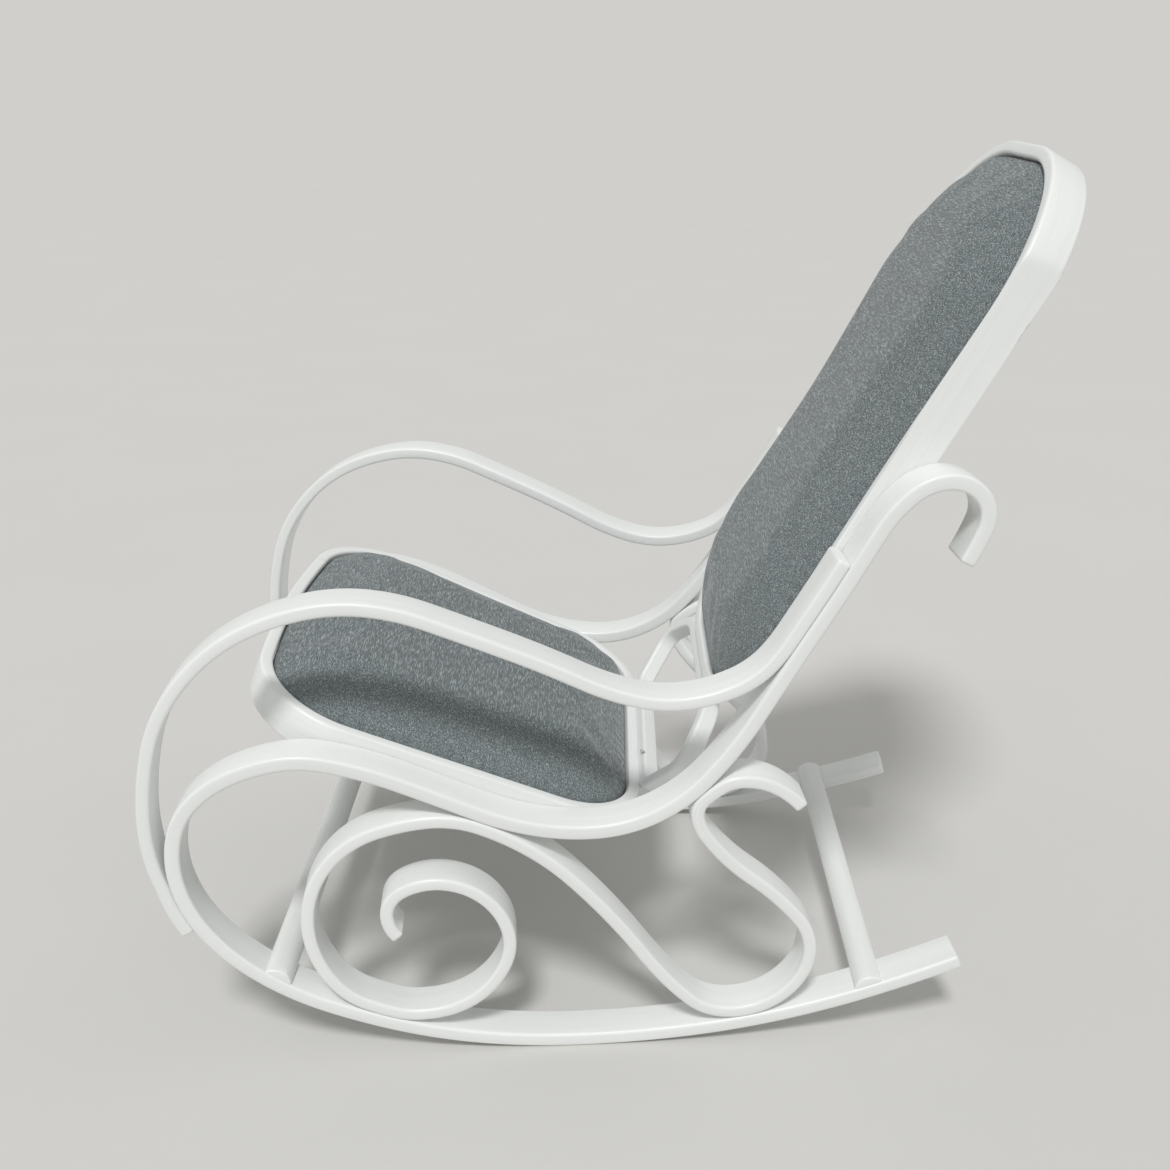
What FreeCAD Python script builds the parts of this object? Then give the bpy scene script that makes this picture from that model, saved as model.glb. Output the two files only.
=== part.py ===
import FreeCAD, Part
import math
import os

# Bentwood rocking chair. X is across the seat, the chair faces -Y and Z is up.
# Each side frame is three bent strips in one upright plane: a long rail that is rocker,
# seat rail and back post in one, an arm laid against it at both ends, and a scroll that
# fills the space between. Two bent rings carry the seat and the back, and a small ring
# ties them together.

os.makedirs("parts", exist_ok=True)
doc = FreeCAD.newDocument("RockingChair")
Vector = FreeCAD.Vector

# Driving dimensions in millimetres and degrees.
SIZES = [
    ("strip_width", 40, "width of the side strips, across the chair"),
    ("rail_thick", 16, "thickness of the long rail"),
    ("arm_thick", 14, "thickness of the arm strip"),
    ("scroll_thick", 14, "thickness of the scroll strip"),
    ("edge_break", 2, "chamfer of the strips' long edges"),
    ("end_round", 4, "rounding of the strips' cut ends"),
    ("half_width", 257.5, "half width over the outer faces, at the middle of the rocker"),
    ("splay", 4.57, "angle of each side frame to the middle plane, open to the front"),
    ("fore_shift", 23.5, "middle of the chair's depth behind the middle of the rocker"),
    ("band_thick", 14, "thickness of the seat and back rings"),
    ("band_depth", 40, "depth of the seat and back rings"),
    ("ring_break", 2.2, "chamfer of the rings' edges"),
    ("seat_tilt", 22.3, "slope of the seat, down to the rear"),
    ("seat_front_y", -338.2, "front of the seat ring, from the middle of the rocker"),
    ("seat_front_z", 419.4, "height of the seat ring's front edge"),
    ("seat_long", 445.6, "length of the seat ring along its slope"),
    ("seat_front_bow", 17, "rise of the seat ring's bowed front"),
    ("seat_nose", -5.9, "meeting point of the bowed front's tangents"),
    ("seat_nose_turn", 1400, "radius of the seat ring's bowed front"),
    ("seat_front_turn", 108, "corner radius at the front of the seat"),
    ("seat_rear_turn", 100, "corner radius at the rear of the seat"),
    ("back_tilt", 28.1, "lean of the back from upright"),
    ("back_foot_y", 139.6, "foot of the back ring, from the middle of the rocker"),
    ("back_foot_z", 356.5, "height of the back ring's foot"),
    ("back_long", 646, "length of the back ring along its slope"),
    ("back_top_half", 202, "half width of the back ring at its top"),
    ("waist_at", 338, "waist of the back ring above its foot"),
    ("waist_turn", 1500, "radius of the back ring's waist"),
    ("back_foot_turn", 147.5, "corner radius at the foot of the back"),
    ("back_top_turn", 158.7, "corner radius at the top of the back"),
    ("tie_thick", 15, "thickness of the tie ring in its own plane"),
    ("tie_depth", 20, "depth of the tie ring"),
    ("tie_rise", 55, "slope of the tie ring's plane"),
    ("tie_foot_y", 83, "lower bar of the tie ring, from the middle of the rocker"),
    ("tie_foot_z", 251, "height of the tie ring's lower bar"),
    ("tie_tall", 113, "height of the tie ring between its two bars"),
    ("tie_foot_half", 128, "half width of the tie ring's lower bar"),
    ("tie_foot_turn", 22, "corner radius at the tie ring's foot"),
    ("tie_swell_half", 170, "half width of the tie ring where it swells"),
    ("tie_swell_at", 62, "height of the tie ring's swell"),
    ("tie_swell_turn", 28, "corner radius of the tie ring's swell"),
    ("tie_top_half", 116, "half width of the tie ring's upper bar"),
    ("tie_top_turn", 60, "corner radius at the tie ring's top"),
    ("bar_width", 30, "width of the cross bars"),
    ("bar_tall", 17, "height of the cross bars"),
    ("bar_shoulder", 9.4, "height of the cross bars' straight sides"),
    ("bar_let_in", 7, "depth of the cross bars' housings in the rail"),
    ("bar_inset", 1.5, "cross bar ends behind the outer faces"),
    ("panel_thick", 9, "plywood panels under the upholstery"),
    ("panel_drop", 17, "panel tops below the ring's edge"),
    ("foam_crown", 8, "foam tops above the ring's edge"),
    ("foam_round", 9, "rounding of the foam's edge"),
    ("cover_thick", 1.5, "fabric cover"),
    ("cover_gap", 0.4, "cover to ring"),
    ("cover_turn_in", 32, "margin of fabric turned under the panel"),
    ("cleat_long", 70, "length of the cleats under the panels"),
    ("cleat_wide", 18, "width of the cleats"),
    ("cleat_tall", 12, "height of the cleats"),
    ("screw_head", 8, "screw head diameter"),
    ("screw_shank", 4, "screw shank diameter"),
    ("joint_screw", 26, "length of the screws through two strips"),
    ("ring_screw", 38, "length of the screws from the rings into the rails"),
    ("panel_screw", 18, "length of the screws through cleat and panel"),
]

sheet = doc.addObject("Spreadsheet::Sheet", "Sizes")
for row, (alias, value, meaning) in enumerate(SIZES, 1):
    sheet.set("A%d" % row, meaning)
    sheet.set("B%d" % row, str(value))
    sheet.setAlias("B%d" % row, alias)
doc.recompute()


def size(alias):
    return float(sheet.get(alias))


SPLAY = math.radians(size("splay"))
SHIFT = Vector(0, -size("fore_shift"), 0)


# A strip's centre line is a chain of arcs. An arc is (x, y, heading, curvature, length).

def direction(heading):
    return (math.cos(heading), math.sin(heading))


def pointOn(arc, distance):
    """Point and heading at a distance along an arc."""
    x, y, heading, curvature, length = arc
    turned = heading + curvature * distance
    if abs(curvature) < 1e-9:
        return (x + distance * math.cos(heading), y + distance * math.sin(heading), heading)
    return (x + (math.sin(turned) - math.sin(heading)) / curvature,
            y - (math.cos(turned) - math.cos(heading)) / curvature,
            turned)


def arcTo(start, target):
    """The arc that leaves a station (x, y, heading) and ends on a target point."""
    x, y, heading = start
    dx, dy = target[0] - x, target[1] - y
    cos, sin = direction(heading)
    ahead = dx * cos + dy * sin
    aside = dy * cos - dx * sin
    chord = dx * dx + dy * dy
    curvature = 2 * aside / chord
    sweep = 2 * math.atan2(aside, ahead)
    length = sweep / curvature if abs(curvature) > 1e-9 else math.sqrt(chord)
    return (x, y, heading, curvature, length)


def reverseArc(arc):
    x, y, heading = pointOn(arc, arc[4])
    return (x, y, heading + math.pi, -arc[3], arc[4])


def twoArcs(start, end):
    """Two tangent arcs between two stations, with equal tangent lengths."""
    (x0, y0, h0), (x1, y1, h1) = start, end
    t0, t1 = direction(h0), direction(h1)
    vx, vy = x1 - x0, y1 - y0
    tx, ty = t0[0] + t1[0], t0[1] + t1[1]
    spread = 2 * (1 - t0[0] * t1[0] - t0[1] * t1[1])
    along = vx * tx + vy * ty
    square = vx * vx + vy * vy
    if spread < 1e-9:
        reach = square / (4 * (vx * t1[0] + vy * t1[1]))
    else:
        reach = (math.sqrt(along * along + spread * square) - along) / spread
    middle = ((x0 + x1 + reach * (t0[0] - t1[0])) / 2, (y0 + y1 + reach * (t0[1] - t1[1])) / 2)
    return [arcTo(start, middle), reverseArc(arcTo((x1, y1, h1 + math.pi), middle))]


def chainThrough(stations):
    chain = []
    for start, end in zip(stations, stations[1:]):
        chain += twoArcs(start, end)
    return chain


def chainLength(chain):
    return sum(arc[4] for arc in chain)


def stationAt(chain, distance):
    for arc in chain:
        if distance <= arc[4]:
            break
        distance -= arc[4]
    return pointOn(arc, min(distance, arc[4]))


def cutChain(chain, start, end):
    """The stretch of a chain between two distances along it."""
    stretch = []
    passed = 0
    for arc in chain:
        first = max(start - passed, 0)
        last = min(end - passed, arc[4])
        if last - first > 1e-6:
            stretch.append(pointOn(arc, first) + (arc[3], last - first))
        passed += arc[4]
    return stretch


def offsetChain(chain, gap):
    """The chain beside a chain, on its left where the gap is positive."""
    moved = []
    for x, y, heading, curvature, length in chain:
        scale = 1 - curvature * gap
        moved.append((x - gap * math.sin(heading), y + gap * math.cos(heading), heading,
                      curvature / scale, length * scale))
    return moved


def reverseChain(chain):
    return [reverseArc(arc) for arc in reversed(chain)]


def distanceNear(chain, x, y):
    """Distance along a chain of the place nearest to a point."""
    steps = int(chainLength(chain) * 4)
    places = [chainLength(chain) * step / steps for step in range(steps + 1)]
    return min(places, key=lambda place: math.hypot(stationAt(chain, place)[0] - x,
                                                    stationAt(chain, place)[1] - y))


def contactStation(chain, x, y, gap, backwards=False):
    """Station of a strip that lies against a chain near a point, gap to the chain's left."""
    station = stationAt(offsetChain(chain, gap), distanceNear(offsetChain(chain, gap), x, y))
    turn = math.pi if backwards else 0
    return (station[0], station[1], station[2] + turn)


def stripOutline(chain, thick):
    """Closed outline of a strip with rounded corners at its cut ends."""
    corner = size("end_round")
    outline = []
    for line in (chain, reverseChain(chain)):
        side = offsetChain(line, -thick / 2)
        side = cutChain(side, corner, chainLength(side) - corner)
        endX, endY, heading = pointOn(line[-1], line[-1][4])
        across = thick / 2 - corner
        square = heading + math.pi / 2
        capStart = (endX + across * math.sin(heading), endY - across * math.cos(heading), square)
        capEnd = (endX - across * math.sin(heading), endY + across * math.cos(heading), square)
        nextSide = cutChain(offsetChain(reverseChain(line), -thick / 2), corner, chainLength(line))[0]
        outline += side
        outline += twoArcs(pointOn(side[-1], side[-1][4]), capStart)
        outline.append(arcTo(capStart, capEnd))
        outline += twoArcs(capEnd, nextSide[:3])
    return outline


def arcGeometry(arc):
    ends = [Vector(*pointOn(arc, arc[4] * part)[:2], 0) for part in (0, 0.5, 1)]
    if abs(arc[3]) < 1e-7:
        return Part.LineSegment(ends[0], ends[2])
    return Part.Arc(*ends)


# Rings are outlines with rounded corners, each corner (x, y, radius), counter-clockwise.

def insetCorners(corners, gap):
    """The outline moved inwards by a gap, with concentric corners."""
    count = len(corners)
    moved = []
    for index, (x, y, radius) in enumerate(corners):
        before, after = corners[index - 1], corners[(index + 1) % count]
        inAngle = math.atan2(y - before[1], x - before[0])
        outAngle = math.atan2(after[1] - y, after[0] - x)
        turn = (outAngle - inAngle + math.pi) % (2 * math.pi) - math.pi
        middle = inAngle + turn / 2 + math.pi / 2
        reach = gap / math.cos(turn / 2)
        newRadius = radius - gap if turn > 0 else radius + gap
        moved.append((x + reach * math.cos(middle), y + reach * math.sin(middle), newRadius))
    return moved


def roundedOutline(corners):
    count = len(corners)
    starts, ends, arcs = [], [], []
    for index, (x, y, radius) in enumerate(corners):
        corner = Vector(x, y, 0)
        before = (Vector(*corners[index - 1][:2], 0) - corner).normalize()
        after = (Vector(*corners[(index + 1) % count][:2], 0) - corner).normalize()
        half = before.getAngle(after) / 2
        middle = (before + after).normalize()
        starts.append(corner + before * (radius / math.tan(half)))
        ends.append(corner + after * (radius / math.tan(half)))
        arcs.append(Part.Arc(starts[-1], corner + middle * (radius / math.sin(half) - radius), ends[-1]))
    lines = [Part.LineSegment(ends[index - 1], starts[index]) for index in range(count)]
    return arcs + lines


# Bodies

def newBody(label):
    body = doc.addObject("PartDesign::Body", "Body_" + label)
    body.Label = label
    return body


def addSketch(body, name, geometry, role="XY_Plane"):
    sketch = body.newObject("Sketcher::SketchObject", name)
    plane = [feature for feature in body.Origin.OriginFeatures if feature.Role == role][0]
    sketch.AttachmentSupport = (plane, [""])
    sketch.MapMode = "FlatFace"
    sketch.addGeometry(geometry, False)
    return sketch


def addPad(body, sketch, length, downwards=False):
    pad = body.newObject("PartDesign::Pad", "Pad_" + body.Label)
    pad.Profile = sketch
    pad.setExpression("Length", length)
    pad.Reversed = downwards
    doc.recompute()
    return pad


def addPocket(body, sketch, length, downwards=True):
    pocket = body.newObject("PartDesign::Pocket", "Pocket_" + body.Label)
    pocket.Profile = sketch
    pocket.setExpression("Length", length)
    pocket.Reversed = not downwards
    doc.recompute()
    return pocket


def easeEdges(body, feature, kind, measure, levels=None):
    """Chamfer or fillet the edges of the flat faces that lie across the body's Z axis."""
    eased = body.newObject("PartDesign::" + kind, kind + "_" + body.Label)
    names = []
    for number, face in enumerate(feature.Shape.Faces, 1):
        flat = isinstance(face.Surface, Part.Plane) and abs(face.normalAt(0, 0).z) > 0.999
        if flat and (levels is None or any(abs(face.CenterOfMass.z - level) < 0.01 for level in levels)):
            names.append("Face%d" % number)
    eased.Base = (feature, names)
    eased.setExpression("Radius" if kind == "Fillet" else "Size", measure)
    doc.recompute()
    return eased


def cutAway(label, blank, tools):
    """The blank less the solids let into it."""
    blank.Label = label + "_blank"
    group = doc.addObject("Part::Compound", "Tools_" + label)
    group.Links = tools
    cut = doc.addObject("Part::Cut", "Cut_" + label)
    cut.Base = blank
    cut.Tool = group
    cut.Label = label
    return cut


def frameRotation(xAxis, yAxis):
    return FreeCAD.Rotation(xAxis, yAxis, xAxis.cross(yAxis), "XYZ")


# Side frames: stations (along, up, heading) of the strips' centre lines, where along runs
# rearwards from the middle of the rocker.

def stations(*values):
    return [(along, up, math.radians(heading)) for along, up, heading in values]


railStations = stations(
    (424, 97, 203), (230, 32, 193), (2, 8, 180), (-181, 35, 162.5), (-329, 109.5, 140),
    (-396, 212, 103), (-394, 282, 73), (-338, 343, 26), (-243, 357, -13), (-95, 298, -25),
    (25, 273, 3), (136, 330, 50), (224, 475, 61), (268, 556, 63), (314, 628, 42),
    (379, 628, -49), (372, 560, -116))
railChain = chainThrough(railStations)

# The arm lies on the rail's outer face at the front and at the back post.
armGap = (size("rail_thick") + size("arm_thick")) / 2
armSide = offsetChain(railChain, armGap)
armLow = cutChain(armSide, distanceNear(armSide, -392, 162), distanceNear(armSide, -411, 209))
armHigh = cutChain(armSide, distanceNear(armSide, 212, 484), distanceNear(armSide, 251, 567))
armFree = [pointOn(armLow[-1], armLow[-1][4])] + stations(
    (-418.5, 240, 100.5), (-410, 374, 75), (-352, 469, 43), (-249, 519.5, 11), (-139, 507, -22),
    (9, 442, -27), (123, 419, 10.5), (194, 457, 51)) + [armHigh[0][:3]]
armChain = armLow + chainThrough(armFree) + armHigh

# The scroll starts in the curl under the back post, touches the rail in four places and
# ends in the front spiral.
scrollGap = (size("rail_thick") + size("scroll_thick")) / 2
curlTouch = contactStation(railChain, 137, 306, -scrollGap, backwards=True)
heelTouch = contactStation(railChain, 192, 40, -scrollGap)
crownTouch = contactStation(railChain, -92, 282, -scrollGap, backwards=True)
toeTouch = contactStation(railChain, -185, 52, -scrollGap, backwards=True)
scrollChain = chainThrough(
    stations((236, 296, 130), (171, 327.5, 183.5)) + [curlTouch]
    + stations((138.5, 264, 305), (243, 157, 308)) + [heelTouch]
    + stations((133, 54.5, 138), (76, 122, 124.5)) + [crownTouch]
    + stations((-198, 277, 200), (-268, 196, 257), (-243, 86, 309)) + [toeTouch]
    + stations((-138, 51, 11.5), (-67, 115, 71), (-84, 189.5, 132), (-175, 204.5, 212),
               (-179, 149, 313)))

sidePlaces = {}
slope = Vector(-math.sin(SPLAY), math.cos(SPLAY), 0)
outwards = Vector(math.cos(SPLAY), math.sin(SPLAY), 0)
innerLeft = Vector(size("half_width"), 0, 0) - outwards * size("strip_width") + SHIFT
sidePlaces["left"] = FreeCAD.Placement(innerLeft, frameRotation(slope, Vector(0, 0, 1)))
outerRight = Vector(-size("half_width"), 0, 0) + SHIFT
rightSlope = Vector(-slope.x, slope.y, 0)
sidePlaces["right"] = FreeCAD.Placement(outerRight, frameRotation(rightSlope, Vector(0, 0, 1)))


def bentStrip(label, chain, thick, place):
    body = newBody(label)
    outline = [arcGeometry(arc) for arc in stripOutline(chain, size(thick))]
    sketch = addSketch(body, "Outline_" + label, outline)
    pad = addPad(body, sketch, "Sizes.strip_width")
    easeEdges(body, pad, "Chamfer", "Sizes.edge_break")
    body.Placement = place
    return body


strips = {}
for side, place in sidePlaces.items():
    strips["side_rail_" + side] = bentStrip("side_rail_" + side, railChain, "rail_thick", place)
    strips["arm_" + side] = bentStrip("arm_" + side, armChain, "arm_thick", place)
    strips["scroll_" + side] = bentStrip("scroll_" + side, scrollChain, "scroll_thick", place)


# Prisms between the side frames trim what fits between them.

def betweenSides(label, inset):
    """The space between two planes, inset from the outer faces of the side frames."""
    body = newBody(label)
    front, rear, tall = -600, 700, "1200 mm"
    halves = [(size("half_width") - inset / math.cos(SPLAY) - math.tan(SPLAY) * y, y) for y in (front, rear)]
    corners = [Vector(-halves[0][0], front, 0), Vector(halves[0][0], front, 0),
               Vector(halves[1][0], rear, 0), Vector(-halves[1][0], rear, 0)]
    lines = [Part.LineSegment(corners[index - 1], corners[index]) for index in range(4)]
    addPad(body, addSketch(body, "Outline_" + label, lines), tall)
    body.Placement = FreeCAD.Placement(SHIFT, FreeCAD.Rotation())
    return body


betweenRails = betweenSides("between_rails", size("strip_width"))
betweenFaces = betweenSides("between_faces", size("bar_inset"))


def trimmed(label, blank, space):
    blank.Label = label + "_untrimmed"
    common = doc.addObject("Part::Common", "Trim_" + label)
    common.Base = blank
    common.Tool = space
    common.Label = label
    return common


# Cross bars: a flat foot and a rounded top, let into the rockers.

def crossBar(label, along, up):
    body = newBody(label)
    station = stationAt(railChain, distanceNear(railChain, along, up))
    lean = station[2] - math.pi
    half = size("bar_width") / 2
    shoulder = size("bar_shoulder")
    tall = size("bar_tall")
    outline = [
        Part.LineSegment(Vector(-half, 0, 0), Vector(half, 0, 0)),
        Part.LineSegment(Vector(half, 0, 0), Vector(half, shoulder, 0)),
        Part.Arc(Vector(half, shoulder, 0), Vector(0, tall, 0), Vector(-half, shoulder, 0)),
        Part.LineSegment(Vector(-half, shoulder, 0), Vector(-half, 0, 0))]
    pad = addPad(body, addSketch(body, "Section_" + label, outline), "Sizes.half_width * 2.4")
    forward = Vector(0, math.cos(lean), math.sin(lean))
    upward = Vector(0, -math.sin(lean), math.cos(lean))
    rearwards = (station[0] - math.sin(SPLAY) * size("strip_width") / 2) * math.cos(SPLAY)
    middle = Vector(0, rearwards, station[1])
    foot = middle + upward * (size("rail_thick") / 2 - size("bar_let_in"))
    foot.x = -size("half_width") * 1.2
    body.Placement = FreeCAD.Placement(foot + SHIFT, frameRotation(forward, upward))
    return trimmed(label, body, betweenFaces)


bars = {"front_stretcher": crossBar("front_stretcher", -309, 97),
        "rear_stretcher": crossBar("rear_stretcher", 329, 64)}


# Rings and upholstery

seatLean = math.radians(size("seat_tilt"))
seatPlace = FreeCAD.Placement(
    Vector(0, size("seat_front_y"), size("seat_front_z")) + SHIFT,
    frameRotation(Vector(1, 0, 0), Vector(0, math.cos(seatLean), -math.sin(seatLean))))
backLean = math.radians(size("back_tilt"))
backPlace = FreeCAD.Placement(
    Vector(0, size("back_foot_y"), size("back_foot_z")) + SHIFT,
    frameRotation(Vector(1, 0, 0), Vector(0, math.sin(backLean), math.cos(backLean))))


def insideHalf(y):
    """Half the space between the rails at a distance from the middle of the rocker."""
    return size("half_width") - size("strip_width") / math.cos(SPLAY) - math.tan(SPLAY) * y


def mirrored(rightHalf):
    """A full outline from its right half, listed counter-clockwise from the front or foot."""
    leftHalf = [(-x, y, radius) for x, y, radius in reversed(rightHalf) if x > 0]
    return rightHalf + leftHalf


# The seat ring's sides lie flat on the rails: the lower edge is the widest.
lowerEdge = size("seat_front_y") - size("band_depth") * math.sin(seatLean)
seatRearY = lowerEdge + size("seat_long") * math.cos(seatLean)
seatFrontY = lowerEdge + size("seat_front_bow") * math.cos(seatLean)
seatCorners = mirrored([
    (0, size("seat_nose"), size("seat_nose_turn")),
    (insideHalf(seatFrontY), size("seat_front_bow"), size("seat_front_turn")),
    (insideHalf(seatRearY), size("seat_long"), size("seat_rear_turn"))])

# The back ring is a little waisted where the back posts hold it.
waistHalf = insideHalf(size("back_foot_y") + size("waist_at") * math.sin(backLean)) + 1
footHalf = insideHalf(size("back_foot_y")) + 1
backCorners = mirrored([
    (footHalf, 0, size("back_foot_turn")),
    (waistHalf, size("waist_at"), size("waist_turn")),
    (size("back_top_half"), size("back_long"), size("back_top_turn"))])


def bentRing(label, corners, thick, depth, place):
    body = newBody(label)
    pad = addPad(body, addSketch(body, "Outside_" + label, roundedOutline(corners)), depth, downwards=True)
    inside = roundedOutline(insetCorners(corners, size(thick)))
    pocket = addPocket(body, addSketch(body, "Inside_" + label, inside), depth)
    easeEdges(body, pocket, "Chamfer", "Sizes.ring_break")
    body.Placement = place
    return body


seatBlank = bentRing("seat_frame", seatCorners, "band_thick", "Sizes.band_depth", seatPlace)
seatRing = trimmed("seat_frame", seatBlank, betweenRails)
backBlank = bentRing("back_frame", backCorners, "band_thick", "Sizes.band_depth", backPlace)
backRing = trimmed("back_frame", backBlank, betweenRails)


def slab(label, corners, top, thick, place, rounding=None):
    """A plate inside a ring, with its top at a height over the ring's edge."""
    body = newBody(label)
    sketch = addSketch(body, "Outline_" + label, roundedOutline(corners))
    sketch.AttachmentOffset = FreeCAD.Placement(Vector(0, 0, top), FreeCAD.Rotation())
    pad = addPad(body, sketch, thick, downwards=True)
    if rounding:
        easeEdges(body, pad, "Fillet", rounding, levels=[top])
    body.Placement = place
    return body


def cleatBlocks(label, places, place):
    """Blocks glued inside the ring, under the panel, each (x, y, angle)."""
    blocks = []
    top = -size("panel_drop") - size("panel_thick") - size("cover_thick")
    for number, (x, y, angle) in enumerate(places, 1):
        block = doc.addObject("Part::Box", "Block_%s_%d" % (label, number))
        block.setExpression("Length", "Sizes.cleat_long")
        block.setExpression("Width", "Sizes.cleat_wide")
        block.setExpression("Height", "Sizes.cleat_tall")
        turn = FreeCAD.Rotation(Vector(0, 0, 1), angle)
        corner = Vector(x, y, top - size("cleat_tall")) - turn.multVec(Vector(size("cleat_long") / 2, 0, 0))
        block.Placement = place.multiply(FreeCAD.Placement(corner, turn))
        blocks.append(block)
    group = doc.addObject("Part::Compound", "Group_" + label)
    group.Links = blocks
    group.Label = label
    return group


def upholstery(name, corners, place):
    """Panel, foam and the cover that wraps both, and their screws' places."""
    coverOut = insetCorners(corners, size("band_thick") + size("cover_gap"))
    inside = insetCorners(coverOut, size("cover_thick"))
    panelTop = -size("panel_drop")
    foam = slab(name + "_foam", inside, size("foam_crown"), "Sizes.foam_crown + Sizes.panel_drop", place,
                "Sizes.foam_round")
    panel = slab(name + "_panel", inside, panelTop, "Sizes.panel_thick", place)
    block = slab(name + "_cover", coverOut, size("foam_crown") + size("cover_thick"),
                 "Sizes.foam_crown + Sizes.panel_drop + Sizes.panel_thick + 2 * Sizes.cover_thick", place,
                 "Sizes.foam_round + Sizes.cover_thick")
    window = slab(name + "_window", insetCorners(coverOut, size("cover_turn_in")),
                  panelTop - size("panel_thick"), "Sizes.cover_thick * 2", place)
    cover = cutAway(name + "_cover", block, [foam, panel, window])
    return foam, panel, cover


seatFoam, seatPanel, seatCover = upholstery("seat", seatCorners, seatPlace)
backFoam, backPanel, backCover = upholstery("back", backCorners, backPlace)

# One cleat on each side of a panel: side cleats (x, y), front or foot and rear or top cleats (y).
seatCleatAt, seatCleatFront, seatCleatRear = 150, 19, 429
backCleatAt, backCleatFoot, backCleatTop = 300, 16, 630
cleatMiddle = size("cleat_wide") / 2
seatCleatX = insideHalf(seatFrontY + seatCleatAt) - size("band_thick") - 5
backCleatX = waistHalf - size("band_thick") - 2
seatCleats = cleatBlocks("seat_cleats", [
    (seatCleatX, seatCleatAt, 93.5), (-seatCleatX, seatCleatAt, -93.5),
    (0, seatCleatFront, 0), (0, seatCleatRear, 180)], seatPlace)
backCleats = cleatBlocks("back_cleats", [
    (backCleatX, backCleatAt, 91), (-backCleatX, backCleatAt, -91),
    (0, backCleatFoot, 0), (0, backCleatTop, 180)], backPlace)

# The tie ring: a wide lower bar against the seat ring, sides that swell outwards and an
# upper bar under the back ring, all in one leaning plane.
tieLean = math.radians(size("tie_rise"))
tieUp = Vector(0, math.cos(tieLean), math.sin(tieLean))
tieOut = Vector(1, 0, 0).cross(tieUp)
tieFoot = Vector(0, size("tie_foot_y"), size("tie_foot_z")) + tieOut * (size("tie_depth") / 2)
tiePlace = FreeCAD.Placement(tieFoot + SHIFT, frameRotation(Vector(1, 0, 0), tieUp))
tieMiddle = mirrored([
    (size("tie_foot_half"), 0, size("tie_foot_turn")),
    (size("tie_swell_half"), size("tie_swell_at"), size("tie_swell_turn")),
    (size("tie_top_half"), size("tie_tall"), size("tie_top_turn"))])
tieCorners = insetCorners(tieMiddle, -size("tie_thick") / 2)
tieBlank = bentRing("tie_ring", tieCorners, "tie_thick", "Sizes.tie_depth", tiePlace)


# Countersunk wood screws, along their own -Z from the head.

def screwBody(label, length):
    body = newBody(label)
    head, shank = size("screw_head") / 2, size("screw_shank") / 2
    cone = head - shank
    outline = [Vector(0, 0, 0), Vector(head, 0, 0), Vector(shank, -cone, 0),
               Vector(shank, -length + 2 * shank, 0), Vector(0, -length, 0)]
    lines = [Part.LineSegment(outline[index - 1], outline[index]) for index in range(len(outline))]
    sketch = addSketch(body, "Profile_" + label, lines, "XZ_Plane")
    turned = body.newObject("PartDesign::Revolution", "Turned_" + label)
    turned.Profile = sketch
    turned.ReferenceAxis = (sketch, ["V_Axis"])
    turned.Angle = 360
    doc.recompute()
    return body


screws = {}
for length in ("joint_screw", "ring_screw", "panel_screw"):
    screws[length] = screwBody("screw_" + length, size(length))


def screwGroup(label, length, places):
    """Equal screws, each at (point of its head, direction it is driven in)."""
    group = doc.addObject("Part::Feature", "Screws_" + label)
    shapes = []
    for point, along in places:
        shape = screws[length].Shape.copy()
        shape.Placement = FreeCAD.Placement(point, FreeCAD.Rotation(Vector(0, 0, -1), along))
        shapes.append(shape)
    group.Shape = Part.Compound(shapes)
    group.Label = label
    return group


def railScrew(along, up, towardsLeft):
    """A screw through the rail's middle near a point, to the left or right of the rail."""
    station = stationAt(railChain, distanceNear(railChain, along, up))
    side = 1 if towardsLeft else -1
    normal = Vector(-math.sin(station[2]) * side, math.cos(station[2]) * side, 0)
    head = Vector(station[0], station[1], size("strip_width") / 2) - normal * (size("rail_thick") / 2 - 0.5)
    return head, normal


def onBothSides(places):
    """Places given in the side frame's own plane, moved to the two side frames."""
    moved = []
    for side, place in sidePlaces.items():
        moved += [(place.multVec(point), place.Rotation.multVec(along)) for point, along in places]
    return moved


armScrews = screwGroup("arm_screws", "joint_screw", onBothSides([
    railScrew(-372, 170, True), railScrew(-390, 196, True),
    railScrew(236, 500, True), railScrew(262, 548, True)]))
scrollScrews = screwGroup("scroll_screws", "joint_screw", onBothSides([
    railScrew(curlTouch[0] - 10, curlTouch[1] + 10, False),
    railScrew(heelTouch[0], heelTouch[1] - 15, False),
    railScrew(crownTouch[0] + 6, crownTouch[1] + 14, False),
    railScrew(toeTouch[0] - 5, toeTouch[1] - 14, False)]))
barScrews = screwGroup("stretcher_screws", "panel_screw", onBothSides([
    railScrew(-309, 97, False), railScrew(329, 64, False)]))


def ringScrews(label, places):
    """Screws from inside a ring out into the rails, at (y, height) in the rails' middle."""
    found = []
    for y, height in places:
        for side in (-1, 1):
            outward = Vector(side * math.cos(SPLAY), math.sin(SPLAY), 0)
            face = Vector(side * insideHalf(y), y, height) + SHIFT
            found.append((face - outward * (size("band_thick") - 2.2), outward))
    return screwGroup(label, "ring_screw", found)


seatScrews = ringScrews("seat_frame_screws", [(-226, 352), (-120, 307), (-30, 277)])
backScrews = ringScrews("back_frame_screws", [(232, 492), (262, 548), (291, 598)])


def placed(place, x, y, height, along):
    return place.multVec(Vector(x, y, height)), place.Rotation.multVec(along)


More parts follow.
